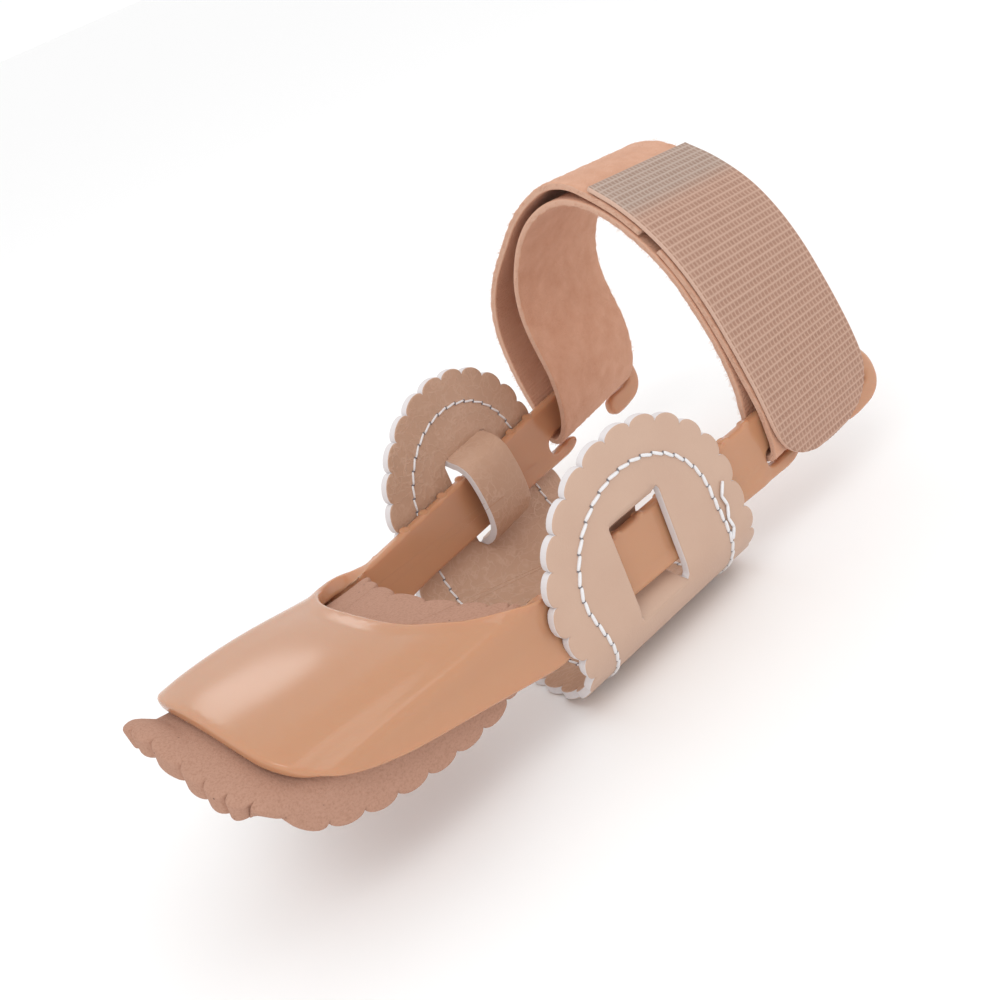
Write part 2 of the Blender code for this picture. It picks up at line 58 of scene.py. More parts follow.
# Splint
TOE_LENGTH = 64.5
TOE_HALF_WIDTH = 23.2
SHELL_CROWN = 8.3
ARM_HEIGHT = 13.6
ARM_SPLAY = 0.086
ARM_START = 0.186 * TOE_LENGTH
ARM_TOP_W = 27.0
NUB_PITCH = 6.0
NUB_RADIUS = 1.0
NUB_COUNT = 8
SHELL_ROUNDNESS = 0.8
RIM_FLARE = 1.1            # the rim turns outwards below a soft crease
LIP_BEAD = 0.45            # height of the rounded bead along the rear lip
LIP_BEAD_WIDTH = 3.2
LOWER_LIP = 0.3            # height of the band along an arm's lower edge
LOWER_LIP_DROP = 9.4       # from the arm's top down to the band
RIDGE_W = 12.5             # flat coordinate of the shell's raised line
RIDGE_RISE = 0.3
GROOVE_W = 20.5            # flat coordinate of the shell's hollow line
GROOVE_DEPTH = 0.5

# Foot strap
STRAP_FRONT = 45.9
STRAP_WIDTH = 28.0
STRAP_REAR = STRAP_FRONT + STRAP_WIDTH
STRAP_MID = STRAP_FRONT + STRAP_WIDTH / 2.0
STRAP_RISE = 45.5


def sized(rows, *sizes):
    """Turn a table's shares into lengths, one named size for each column."""
    return tuple(tuple(share * size for share, size in zip(row, sizes)) for row in rows)


def arm_y(x):
    """Distance of an arm's middle surface from the centre plane."""
    return TOE_HALF_WIDTH + ARM_SPLAY * (x + ARM_START)


# x, half width, crown height of the shell's middle surface, as shares
SHELL_SECTIONS = sized((
    (-1.132, 0.845, 1.0), (-1.0, 0.888, 0.952), (-0.868, 0.931, 0.892), (-0.62, 0.966, 0.747),
    (-0.496, 0.978, 0.614), (-0.403, 0.987, 0.506), (-0.31, 0.991, 0.386), (-0.217, 0.996, 0.265),
    (-0.186, 1.0, 0.229),
), TOE_LENGTH, TOE_HALF_WIDTH, SHELL_CROWN)

# x, flat coordinate, as shares: shell's front edge and lower rim, from the centre line outwards
SHELL_EDGE = sized((
    (-1.0, 0.0), (-1.0, 0.148), (-0.998, 0.296), (-0.992, 0.444), (-0.977, 0.578), (-0.952, 0.711),
    (-0.918, 0.844), (-0.878, 0.97), (-0.806, 1.059), (-0.744, 1.111), (-0.682, 1.156), (-0.574, 1.222),
    (-0.465, 1.289), (-0.341, 1.37), (-0.248, 1.43), (-0.171, 1.452), (-0.078, 1.433),
), TOE_LENGTH, ARM_TOP_W)

# x, z, as shares: lower edge of an arm up to the strap slot
ARM_UNDERSIDE = sized((
    (0.0, -0.853), (0.175, -0.875), (0.349, -0.897), (0.524, -0.919), (0.697, -0.941), (0.872, -0.971),
), STRAP_FRONT, ARM_HEIGHT)

# distance behind the strap's front edge, z, as shares: slot with its open lower bar, and the arm's end
ARM_SLOT = sized((
    (0.004, -0.993), (0.132, -1.0), (0.203, -0.971), (0.246, -0.904), (0.246, -0.846), (0.211, -0.809),
    (0.075, -0.801), (-0.025, -0.801), (-0.053, -0.772), (-0.064, -0.706), (-0.064, -0.64),
    (-0.05, -0.581), (-0.019, -0.551), (0.217, -0.551), (0.504, -0.551), (0.789, -0.551),
    (1.036, -0.551), (1.064, -0.581), (1.078, -0.64), (1.078, -0.706), (1.064, -0.772), (1.024, -0.801),
    (0.896, -0.801), (0.811, -0.809), (0.769, -0.853), (0.754, -0.941), (0.763, -1.044), (0.803, -1.118),
    (0.868, -1.14), (1.005, -1.132), (1.104, -1.096), (1.172, -1.0), (1.204, -0.868), (1.204, -0.706),
    (1.178, -0.515), (1.124, -0.338), (1.047, -0.176), (0.953, -0.059), (0.845, 0.0), (0.504, 0.0),
), STRAP_WIDTH, ARM_HEIGHT)

# x, flat coordinate, as shares: rear lip of the shell, from the arm to the centre line
SHELL_LIP = sized((
    (-0.124, 1.0), (-0.186, 0.993), (-0.233, 0.941), (-0.285, 0.83), (-0.344, 0.681), (-0.4, 0.533),
    (-0.443, 0.385), (-0.473, 0.244), (-0.487, 0.119), (-0.49, 0.0),
), TOE_LENGTH, ARM_TOP_W)

# Twist of the toe end
TWIST_X = 3.5
TWIST_Y = 1.5
TWIST_Z = 2.6
TWIST_START = 0.248 * TOE_LENGTH
TWIST_RUN = 0.713 * TOE_LENGTH
TWIST_SIDE = 0.862 * TOE_HALF_WIDTH

# Toe pad
PAD_TOP_W = ARM_TOP_W - 3.0
PAD_BASE_Z = -2.0
PAD_FRONT_LIFT = 3.5
PAD_LIFT_START = 0.938 * TOE_LENGTH
PAD_LIFT_RUN = 0.14 * TOE_LENGTH
PAD_CORNER_LIFT = 2.4
PAD_CORNER_START = 1.02 * TOE_LENGTH
PAD_CORNER_RUN = 0.07 * TOE_LENGTH
PAD_ROUNDNESS = 0.88
# x, flat coordinate, as shares: edge of the pad to the scallop valleys
PAD_EDGE = sized((
    (-1.088, 0.0), (-1.088, 0.25), (-1.088, 0.458), (-1.079, 0.65), (-1.06, 0.817), (-1.03, 0.979),
    (-0.98, 1.105), (-0.905, 1.195), (-0.828, 1.275), (-0.698, 1.358), (-0.558, 1.405), (-0.426, 1.405),
    (-0.327, 1.317), (-0.262, 1.125), (-0.248, 0.875), (-0.268, 0.625), (-0.292, 0.375), (-0.31, 0.125),
    (-0.313, 0.0),
), TOE_LENGTH, PAD_TOP_W)

# Scallops
SCALLOP_PITCH = 6.0
SCALLOP_DEPTH = 1.5

# Leather sling
SLING_X = 18.0
SLING_DEPTH = 28.6
SLING_CORNER_Y = 20.0
SLING_CORNER_Z = 16.0
OUTSIDE_ARM = (FRAME_WALL + LEATHER) / 2.0 + GAP
SLING_FLAT = arm_y(SLING_X) + OUTSIDE_ARM - SLING_CORNER_Y
CORNER_LENGTH = math.pi / 2.0 * math.hypot(SLING_CORNER_Y, SLING_CORNER_Z) / math.sqrt(2.0)
FLAP_RISE = 8.8
FLAP_LENGTH = SLING_FLAT + CORNER_LENGTH + FLAP_RISE
FLAP_HALF_WIDTH = 22.2
SLING_MID_Z = LEATHER / 2.0 - SLING_DEPTH
# flat coordinate along the sling, centre line x, half width to the scallop valleys, as shares
SLING_SPINE = sized((
    (-0.938, 0.522, 1.0), (-0.661, 0.656, 0.968), (-0.33, 0.833, 0.959), (0.0, 1.0, 0.955),
    (0.33, 1.078, 1.0), (0.661, 1.156, 1.005), (1.0, 1.194, 0.977),
), FLAP_LENGTH, SLING_X, FLAP_HALF_WIDTH)
SLIT_WIDTH = 0.8
NEAR_STRIP = (SLING_X - 0.662 * FLAP_HALF_WIDTH, SLING_X - 0.122 * FLAP_HALF_WIDTH)
FAR_STRIP = (SLING_X - 0.032 * FLAP_HALF_WIDTH, SLING_X + 0.554 * FLAP_HALF_WIDTH)
# part of the way down the slits, distance outwards from the arm's middle, z, as shares
STRIP_PATH = sized((
    (0.0, 1.0, 0.287), (0.1, 0.25, 0.235), (0.2, -0.542, 0.191), (0.31, -1.292, 0.066),
    (0.45, -1.75, -0.206), (0.6, -1.917, -0.471), (0.74, -1.875, -0.706), (0.84, -1.542, -0.897),
    (0.93, -0.5, -1.074), (1.0, 0.917, -1.169),
), 1.0, OUTSIDE_ARM, ARM_HEIGHT)
STITCH_INSET = 5.4         # stitch line inside the scallop valleys
STITCH_PITCH = 2.7
STITCH_SLANT = 0.16
OUTER_THREAD = 0.34
INNER_THREAD = 0.24
# grey dashes at the stitch holes: painted shade in the holes
HOLE_SHADE_RADIUS = 0.17
HOLE_SHADE_HALF_LENGTH = 0.35
TACK_THREAD = 0.32
# x, z: second row of thread over the near flap's rear stitches
BACK_TACK = ((29.2, -4.1), (27.9, -6.4), (28.5, -8.6), (27.7, -10.9), (28.3, -13.2), (27.6, -15.4))

# Strap and tape routes
STRAP_SKEW = 0.045
STRAP_LEAN = 0.0029
SLOT_Y = arm_y(STRAP_MID)
SLOT_TURN_Z = -0.537 * ARM_HEIGHT
SLOT_TURN_R = (FRAME_WALL + STRAP_THICK) / 2.0 + GAP
# y, z, as shares, of the strap's middle, from its welded end over the top and down the far side
STRAP_FAR_OUTER = sized((
    (-0.593, 0.778), (-0.433, 0.87), (-0.252, 0.943), (-0.102, 0.989), (0.085, 1.0), (0.3, 0.958),
    (0.531, 0.875), (0.777, 0.738), (0.967, 0.611), (1.09, 0.488), (1.151, 0.363), (1.161, 0.224),
    (1.138, 0.088), (1.097, -0.033),
), SLOT_Y, STRAP_RISE)
STRAP_INNER = sized((
    (0.916, -0.176), (0.858, -0.123), (0.811, -0.044), (0.783, 0.055), (0.78, 0.154), (0.804, 0.253),
    (0.824, 0.352), (0.821, 0.453), (0.777, 0.563), (0.691, 0.668), (0.572, 0.765), (0.416, 0.848),
    (0.204, 0.912), (0.0, 0.932), (-0.215, 0.901), (-0.395, 0.837), (-0.548, 0.749), (-0.647, 0.677),
    (-0.729, 0.596), (-0.817, 0.462), (-0.892, 0.312), (-0.93, 0.176), (-0.937, 0.088), (-0.926, 0.011),
    (-0.926, -0.066),
), SLOT_Y, STRAP_RISE)
STRAP_NEAR_OUTER = sized((
    (-1.076, -0.066), (-1.069, 0.011), (-1.049, 0.075), (-1.008, 0.18), (-0.95, 0.323), (-0.872, 0.477),
    (-0.773, 0.618), (-0.695, 0.701),
), SLOT_Y, STRAP_RISE)
HOOK_PATH = sized((
    (-0.283, 0.974), (-0.467, 0.899), (-0.634, 0.804), (-0.739, 0.723), (-0.824, 0.635), (-0.926, 0.492),
    (-1.005, 0.334), (-1.066, 0.187), (-1.107, 0.066), (-1.134, -0.055), (-1.138, -0.275),
), SLOT_Y, STRAP_RISE)
HOOK_END_ROUND = 12.0
HOOK_PITCH = 1.35          # distance between the tape's cross ribs
HOOK_SPACING = 0.95        # distance between the hooks along a rib
RIB_HEIGHT = 0.22
HOOK_HEIGHT = 0.20
FIBRE_THICK = 0.035

# Camera in the splint's own axes
CAMERA_PLACE = np.array([-123.718, -171.326, 103.931])
CAMERA_AZIMUTH = -37.0515
CAMERA_HEIGHT = 24.7200
CAMERA_ROLL = 23.6021
CAMERA_LENS = 47.40
SENSOR_WIDTH = 36.0

FLOOR_HALF_SIZE = 40000.0
UV_UNIT = 100.0            # millimetres in one unit of a sheet's flat coordinates


def smooth(t):
    """Ease from 0 to 1."""
    t = np.clip(t, 0.0, 1.0)
    return t * t * (3.0 - 2.0 * t)


def hermite(at, stations, values):
    """Smooth curve through values given at rising stations."""
    t = np.array(stations, dtype=float)
    v = np.array(values, dtype=float)
    slope = np.diff(v) / np.diff(t)
    m = np.empty_like(v)
    m[0], m[-1] = slope[0], slope[-1]
    before, after = np.diff(t)[:-1], np.diff(t)[1:]
    m[1:-1] = (slope[:-1] * after + slope[1:] * before) / (before + after)
    at = np.clip(at, t[0], t[-1])
    i = np.clip(np.searchsorted(t, at, side="right") - 1, 0, len(t) - 2)
    h = t[i + 1] - t[i]
    u = (at - t[i]) / h
    part = (2 * u**3 - 3 * u**2 + 1) * v[i] + (u**3 - 2 * u**2 + u) * h * m[i]
    return part + (3 * u**2 - 2 * u**3) * v[i + 1] + (u**3 - u**2) * h * m[i + 1]


def table_curve(table, x, column):
    """Smooth value of one column of a table whose first column rises."""
    return hermite(x, [row[0] for row in table], [row[column] for row in table])


def smooth_line(points, per_segment):
    """Smooth curve through 2D points, with added points in each segment."""
    pts = np.array(points, dtype=float)
    at = stations_of(pts)
    fine = []
    for a, b in zip(at, at[1:]):
        fine += list(np.linspace(a, b, per_segment, endpoint=False))
    fine = np.array(fine + [at[-1]])
    return np.stack([hermite(fine, at, pts[:, 0]), hermite(fine, at, pts[:, 1])], axis=1)


def spaced(points, step):
    """Cut the long segments of a closed line so that none is longer than step."""
    pts = [np.array(p, dtype=float) for p in points]
    out = []
    for a, b in zip(pts, pts[1:] + pts[:1]):
        count = max(1, int(math.ceil(np.linalg.norm(b - a) / step)))
        out += [a + (b - a) * k / count for k in range(count)]
    return out


def stations_of(line):
    """Distance along a line at each of its points."""
    steps = np.linalg.norm(np.diff(line, axis=0), axis=1)
    return np.concatenate([[0.0], np.cumsum(steps)])


def arch_points(x, w, top_w, half_width, crown, base, roundness):
    """Points of an arched sheet: over the crown up to top_w, then straight down."""
    side = np.where(w >= 0, 1.0, -1.0)
    angle = np.clip(np.abs(w) / top_w, 0.0, 1.0) * math.pi / 2.0
    over = np.maximum(np.abs(w) - top_w, 0.0)
    y = half_width * np.sin(angle) ** roundness
    z = base + (crown - base) * np.maximum(np.cos(angle), 0.0) ** roundness
    z = np.where(over > 0, base - over, z)
    return side * y, z


def twisted(x, y, z):
    """Points of the toe end moved by their share of the twist."""
    weight = smooth((-x - TWIST_START) / TWIST_RUN) * np.clip((y / TWIST_SIDE + 1.0) / 2.0, 0.0, 1.2)
    return np.stack([x + TWIST_X * weight, y + TWIST_Y * weight, z + TWIST_Z * weight], axis=1)


def place_frame(x, w):
    """Splint: arch over the toes that runs on into the two arms."""
    share = smooth((x + ARM_START + 5.0) / 5.0)
    half_width = table_curve(SHELL_SECTIONS, x, 1) * (1.0 - share) + arm_y(x) * share
    crown = table_curve(SHELL_SECTIONS, x, 2)
    y, z = arch_points(x, w, ARM_TOP_W, half_width, crown, 0.0, SHELL_ROUNDNESS)
    return twisted(x, y, z)


def rim_flare(x, w):
    """How far the shell's side turns outwards below its soft crease."""
    below = np.abs(w) - np.interp(x, [-62.0, -45.0, -20.0, -12.0], [25.5, 27.0, 31.5, 33.5])
    return RIM_FLARE * smooth(below / 5.0) * smooth((x + 62.0) / 10.0) * smooth((-11.5 - x) / 2.5)


def place_pad(x, w):
    """Toe pad: a smaller arch under the shell, with straight sides that reach below the shell's rim."""
    drop = FRAME_WALL / 2.0 + GAP + PAD_THICK / 2.0
    half_width = table_curve(SHELL_SECTIONS, x, 1) - drop
    crown = table_curve(SHELL_SECTIONS, x, 2) - drop
    base = PAD_BASE_Z + PAD_FRONT_LIFT * smooth((-x - PAD_LIFT_START) / PAD_LIFT_RUN)
    y, z = arch_points(x, w, PAD_TOP_W, half_width, crown, base, PAD_ROUNDNESS)
    far = smooth(y / half_width + 0.3)
    curl = PAD_CORNER_LIFT * far * smooth((-x - PAD_CORNER_START) / PAD_CORNER_RUN)
    return twisted(x, y, z + curl)


def sling_end(z):
    """Flat coordinate of the height z on a flap."""
    return SLING_FLAT + CORNER_LENGTH + (z - SLING_MID_Z - SLING_CORNER_Z)


SLIT_TOP = sling_end(STRIP_PATH[0][2])
SLIT_BOTTOM = sling_end(STRIP_PATH[-1][2])


def place_sling(x, s):
    """Sling: flat bottom, round corners and flaps outside the arms, with a strip inside each arm."""
    side = np.where(s >= 0, 1.0, -1.0)
    reach = arm_y(x) + OUTSIDE_ARM
    along = np.abs(s)
    angle = np.clip((along - SLING_FLAT) / CORNER_LENGTH, 0.0, 1.0) * math.pi / 2.0
    over = np.maximum(along - SLING_FLAT - CORNER_LENGTH, 0.0)
    flat = np.clip(along / SLING_FLAT, 0.0, 1.0)
    y = flat * (reach - SLING_CORNER_Y) + SLING_CORNER_Y * np.sin(angle)
    z = SLING_MID_Z + SLING_CORNER_Z * (1.0 - np.cos(angle)) + over
    first = np.where(s < 0, NEAR_STRIP[0], FAR_STRIP[0])
    last = np.where(s < 0, NEAR_STRIP[1], FAR_STRIP[1])
    strip = (x > first) & (x < last) & (along > SLIT_BOTTOM) & (along < SLIT_TOP)
    part = (SLIT_TOP - along) / (SLIT_TOP - SLIT_BOTTOM)
    y = np.where(strip, arm_y(x) + table_curve(STRIP_PATH, part, 1), y)
    z = np.where(strip, table_curve(STRIP_PATH, part, 2), z)
    return np.stack([x, side * y, z], axis=1)


def turn_points(centre_y, steps):
    """Part of a half circle under the slot's upper bar, from the side with the larger y."""
    points = []
    for step in range(steps):
        angle = math.pi * step / 6.0
        y = centre_y + SLOT_TURN_R * math.cos(angle)
        points.append((y, SLOT_TURN_Z - SLOT_TURN_R * math.sin(angle)))
    return points


def strap_path():
    """The strap's whole way: weld, far outside, far slot, over the inside, near slot, near outside."""
    far_turn = turn_points(SLOT_Y, 5)
    near_turn = [(-y, z) for y, z in reversed(turn_points(SLOT_Y, 7))]
    return list(STRAP_FAR_OUTER) + far_turn + list(STRAP_INNER) + near_turn + list(STRAP_NEAR_OUTER)


def path_place(points):
    """Length of a path and the placing function of a band that follows it."""
    path = smooth_line(points, 8)
    at = stations_of(path)

    def place(x, s):
        beyond = np.where(s < 0, s, np.where(s > at[-1], s - at[-1], 0.0))
        y = np.interp(s, at, path[:, 0])
        z = np.interp(s, at, path[:, 1])
        start = (path[1] - path[0]) / at[1]
        end = (path[-1] - path[-2]) / (at[-1] - at[-2])
        y = y + np.where(s < 0, beyond * start[0], beyond * end[0])
        z = z + np.where(s < 0, beyond * start[1], beyond * end[1])
        away = x - STRAP_MID
        y = y + np.sign(y) * ARM_SPLAY * away * np.minimum(1.0, np.abs(y) / (0.68 * SLOT_Y))
        z = z - STRAP_LEAN * away * np.maximum(z, 0.0)
        return np.stack([x + STRAP_SKEW * y, y, z], axis=1)

    return float(at[-1]), place


def normals_of(place, flat):
    """Unit normals of a bent sheet at its flat points."""
    step = 0.03
    x, s = flat[:, 0], flat[:, 1]
    across = place(x + step, s) - place(x - step, s)
    along = place(x, s + step) - place(x, s - step)
    normal = np.cross(across, along)
    length = np.linalg.norm(normal, axis=1)
    length[length == 0] = 1.0
    return normal / length[:, None]


def inside(polygon, points):
    """True for each point inside the polygon."""
    poly = np.asarray(polygon)
    pts = np.asarray(points)
    result = np.zeros(len(pts), dtype=bool)
    for (x1, y1), (x2, y2) in zip(poly, np.roll(poly, -1, axis=0)):
        if y1 == y2:
            continue
        crosses = (y1 > pts[:, 1]) != (y2 > pts[:, 1])
        at = x1 + (pts[:, 1] - y1) * (x2 - x1) / (y2 - y1)
        result ^= crosses & (pts[:, 0] < at)
    return result


def edge_distance(polygon, points):
    """Distance of each point from the polygon's line."""
    poly = np.asarray(polygon)
    pts = np.asarray(points)
    best = np.full(len(pts), 1e9)
    for a, b in zip(poly, np.roll(poly, -1, axis=0)):
        along = b - a
        t = np.clip(((pts - a) @ along) / max(along @ along, 1e-12), 0.0, 1.0)
        best = np.minimum(best, ((pts - a - t[:, None] * along) ** 2).sum(axis=1))
    return np.sqrt(best)


def loop_area(loop):
    """Signed area of a closed loop."""
    p = np.asarray(loop)
    q = np.roll(p, -1, axis=0)
    return float((p[:, 0] * q[:, 1] - q[:, 0] * p[:, 1]).sum() / 2.0)


def turned(loop, anticlockwise=True):
    """The loop running the wanted way round."""
    return list(loop) if (loop_area(loop) > 0) == anticlockwise else list(loop)[::-1]


def unit(vectors):
    """Vectors brought to length 1."""
    return vectors / np.maximum(np.linalg.norm(vectors, axis=1), 1e-9)[:, None]


def right_of(vectors):
    """Flat vectors turned a quarter to the right."""
    return np.stack([vectors[:, 1], -vectors[:, 0]], axis=1)


def outward_of(loop):
    """Directions away from the material on the right-hand side of a loop."""
    p = np.asarray(loop)
    return unit(right_of(unit(p - np.roll(p, 1, axis=0)) + unit(np.roll(p, -1, axis=0) - p)))


def scalloped(outline, steps=12):
    """Add round scallops outside an anticlockwise outline."""
    loop = np.array(turned(outline) + turned(outline)[:1])
    stations = stations_of(loop)
    lobes = round(stations[-1] / SCALLOP_PITCH)
    share = (1.0 - np.cos(np.pi * np.arange(steps) / steps)) / 2.0
    at = (np.arange(lobes)[:, None] + share[None]).ravel() * stations[-1] / lobes
    ahead, behind = (at + 0.4) % stations[-1], (at - 0.4) % stations[-1]

    def on_line(places):
        return np.stack([np.interp(places, stations, loop[:, k]) for k in (0, 1)], axis=1)

    outward = right_of(unit(on_line(ahead) - on_line(behind)))
    rise = SCALLOP_DEPTH * np.sqrt(np.maximum(0.0, 1.0 - (2.0 * np.tile(share, lobes) - 1.0) ** 2))
    return list(on_line(at) + outward * rise[:, None])


def grid_points(outline, holes, step, clear):
    """Points in staggered rows inside an outline and clear of its edges."""
    poly = np.asarray(outline)
    low, high = poly.min(axis=0), poly.max(axis=0)
    rows = []
    for row, v in enumerate(np.arange(low[1] + step / 2.0, high[1], step * 0.87)):
        us = np.arange(low[0] + step * (0.25 + 0.5 * (row % 2)), high[0], step)
        rows.append(np.stack([us, np.full(len(us), v)], axis=1))
    pts = np.vstack(rows)
    pts = pts[inside(poly, pts)]
    pts = pts[edge_distance(poly, pts) > clear]
    for hole in holes:
        pts = pts[~inside(hole, pts)]
        pts = pts[edge_distance(hole, pts) > clear]
    return pts


def triangles_of(loops, fill):
    """Triangles between the first loop and the others, with the loops' points kept first."""
    points = []
    edges = []
    for loop in loops:
        start = len(points)
        points += [tuple(p) for p in loop]
        edges += [(start + i, start + (i + 1) % len(loop)) for i in range(len(loop))]
    points += [tuple(p) for p in fill]
    result = delaunay_2d_cdt([Vector(p) for p in points], edges, [], 0, 1e-6)
    flat = np.array([(v.x, v.y) for v in result[0]])
    source = [(ids[0] if ids else -1) for ids in result[3]]
    tris = np.array([face for face in result[2] if len(face) == 3])
    centres = flat[tris].mean(axis=1)
    keep = inside(loops[0], centres)
    for loop in loops[1:]:
        keep &= ~inside(loop, centres)
    tris = tris[keep]
    a, b, c = flat[tris[:, 0]], flat[tris[:, 1]], flat[tris[:, 2]]
    turn = (b[:, 0] - a[:, 0]) * (c[:, 1] - a[:, 1]) - (c[:, 0] - a[:, 0]) * (b[:, 1] - a[:, 1])
    tris = tris[np.abs(turn) > 1e-7]
    turn = turn[np.abs(turn) > 1e-7]
    tris[turn < 0] = tris[turn < 0][:, [0, 2, 1]]
    return np.array(source)[tris]


def new_object(name, points, faces, mats, shift=SHIFT):
    """Mesh object from points in millimetres and faces, with its materials."""
    mesh = bpy.data.meshes.new(name)
    mesh.from_pydata(((np.asarray(points) + shift) * MM).tolist(), [], faces)
    for mat in mats:
        mesh.materials.append(mat)
    obj = bpy.data.objects.new(name, mesh)
    bpy.context.scene.collection.objects.link(obj)
    return obj


def shade_smooth(mesh):
    """Smooth shading on every face."""
    mesh.polygons.foreach_set("use_smooth", [True] * len(mesh.polygons))


def sheet_faces(tris, counts, ring_count, n):
    """Faces of a sheet's two skins and rounded rim, and the material slot of each."""
    total = sum(counts)
    first_inner = total * (ring_count - 1)
    faces = [tuple(t + first_inner) for t in tris]
    slots = [0] * len(faces)
    faces += [tuple(t[::-1] + first_inner + n) for t in tris]
    slots += [1] * len(tris)
    start = 0
    for count in counts:
        for i in range(count):
            a, b = start + i, start + (i + 1) % count
            for ring in range(ring_count - 1):
                p, q = ring * total, (ring + 1) * total
                faces.append((p + a, p + b, q + b, q + a))
                faces.append((n + q + a, n + q + b, n + p + b, n + p + a))
                slots += [2, 2] if ring == 0 else [0, 1]
            faces.append((n + a, n + b, b, a))
            slots.append(2)
        start += count
    return faces, slots


def sheet_mesh(name, outline, holes, place, thick, edge, step, mats, relief=None):
    """Closed sheet with rounded edges: upper skin, lower skin and rim get the three materials."""
    loops = [turned(outline, True)] + [turned(h, False) for h in holes]
    inward = [-outward_of(loop) for loop in loops]
    angles = [math.radians(degrees) for degrees in (0, 30, 60, 90)]
    insets = [edge * (1.0 - math.cos(angle)) for angle in angles]
    halves = [thick / 2.0 - edge + edge * math.sin(angle) for angle in angles]
    rings = [[np.asarray(loop) + n * inset for loop, n in zip(loops, inward)] for inset in insets]
    inner = rings[-1]
    fill = grid_points(inner[0], inner[1:], step, step * 0.45)
    counts = [len(loop) for loop in loops]
    total = sum(counts)
    flat = np.vstack([np.vstack(ring) for ring in rings] + [fill])
    half = np.repeat(halves, [total] * (len(halves) - 1) + [total + len(fill)])
    middle = place(flat[:, 0], flat[:, 1])
    normal = normals_of(place, flat)
    lift_up, lift_down = relief(flat) if relief else (0.0, 0.0)
    upper = middle + normal * (half + lift_up)[:, None]
    lower = middle - normal * (half + lift_down)[:, None]
    faces, slots = sheet_faces(triangles_of(inner, fill), counts, len(rings), len(flat))
    obj = new_object(name, np.vstack([upper, lower]), faces, mats)
    mesh = obj.data
    mesh.polygons.foreach_set("material_index", slots)
    shade_smooth(mesh)
    uv = mesh.uv_layers.new(name="flat")
    both = np.vstack([flat, flat])
    index = np.empty(len(mesh.loops), dtype=np.int32)
    mesh.loops.foreach_get("vertex_index", index)
    uv.data.foreach_set("uv", (both[index] / UV_UNIT).astype(np.float32).ravel())
    mesh.update()
    even = obj.modifiers.new("even_normals", "WEIGHTED_NORMAL")
    even.mode = "FACE_AREA"
    return obj


class Nodes:
    """Small helper that builds a material's node tree."""

    def __init__(self, name, colour, roughness):
        self.mat = bpy.data.materials.new(name)
        self.mat.use_nodes = True
        self.tree = self.mat.node_tree
        self.shader = self.tree.nodes["Principled BSDF"]
        self.set(Roughness=roughness)
        self.shader.inputs["Base Color"].default_value = (*colour, 1.0)
        self.mat.diffuse_color = (*colour, 1.0)

    def set(self, **values):
        """Constant values of the shader, with _ for a space in a socket's name."""
        for key, value in values.items():
            self.shader.inputs[key.replace("_", " ")].default_value = value

    def add(self, kind, **settings):
        """New node with its settings."""
        node = self.tree.nodes.new(kind)
        for key, value in settings.items():
            setattr(node, key, value)
        return node

    def link(self, a, out, b, into):
        """Link one node's output to another's input."""
        self.tree.links.new(a.outputs[out], b.inputs[into])

    def colour_from(self, node, out):
        """Take the base colour from a node."""
        self.link(node, out, self.shader, "Base Color")

    def coordinates(self, kind, into):
        """Feed a node's vector with object or flat coordinates."""
        self.link(self.add("ShaderNodeTexCoord"), kind, into, "Vector")

    def noise(self, scale, detail=2.0, roughness=0.5):
        """Noise in object coordinates, in cycles per metre."""
        node = self.add("ShaderNodeTexNoise")
        node.inputs["Scale"].default_value = scale
        node.inputs["Detail"].default_value = detail
        node.inputs["Roughness"].default_value = roughness
        self.coordinates("Object", node)
        return node

    def ramp(self, source, out, stops):
        """Colour ramp of a node's output."""
        node = self.add("ShaderNodeValToRGB")
        elements = node.color_ramp.elements
        while len(elements) < len(stops):
            elements.new(0.5)
        for element, (at, colour) in zip(elements, stops):
            element.position = at
            element.color = (*colour, 1.0)
        self.link(source, out, node, "Fac")
        return node

    def grey_ramp(self, source, out, stops):
        """Ramp of grey levels."""
        return self.ramp(source, out, [(at, (level, level, level)) for at, level in stops])

    def times(self, a, b):
        """Product of two nodes' colours."""
        node = self.add("ShaderNodeMix", data_type="RGBA", blend_type="MULTIPLY")
        node.inputs[0].default_value = 1.0
        self.link(a, "Color", node, 6)
        self.link(b, "Color", node, 7)
        return node

    def bump(self, source, socket, strength, distance, previous=None):
        """Bump from a node's output, on top of a previous bump."""
        node = self.add("ShaderNodeBump")
        node.inputs["Strength"].default_value = strength
        node.inputs["Distance"].default_value = distance
        self.link(source, socket, node, "Height")
        if previous:
            self.link(previous, "Normal", node, "Normal")
        self.link(node, "Normal", self.shader, "Normal")
        return node


def plastic_material():
    """Glossy, slightly translucent peach plastic."""
    m = Nodes("peach_plastic_fine", (0.50, 0.252, 0.138), 0.18)
    m.set(IOR=1.48, Subsurface_Weight=0.3, Subsurface_Radius=(1.0, 0.45, 0.25), Subsurface_Scale=0.004)
    m.bump(m.noise(24.0, 1.0), "Fac", 0.3, 0.003)
    return m.mat


def foam_material():
    """Matte foam skin with small pores, painted as dots of shade."""
    m = Nodes("toe_foam_fine", (0.515, 0.283, 0.195), 0.9)
    fine = m.noise(2600.0, 3.0, 0.6)
    tone = m.ramp(fine, "Fac", [
        (0.3, (0.38, 0.205, 0.14)), (0.5, (0.445, 0.25, 0.178)), (0.75, (0.48, 0.275, 0.2)),
    ])
    pores = m.add("ShaderNodeTexVoronoi")
    pores.inputs["Scale"].default_value = 330.0
    m.coordinates("Object", pores)
    # pores painted as dark dots: painted shade in the pores
    pore_shade = m.grey_ramp(pores, "Distance", [(0.0, 0.34), (0.045, 0.55), (0.075, 1.0)])
    m.colour_from(m.times(tone, pore_shade), 2)
    m.set(Specular_IOR_Level=0.2)
    m.bump(fine, "Fac", 0.4, 0.0003)
    return m.mat


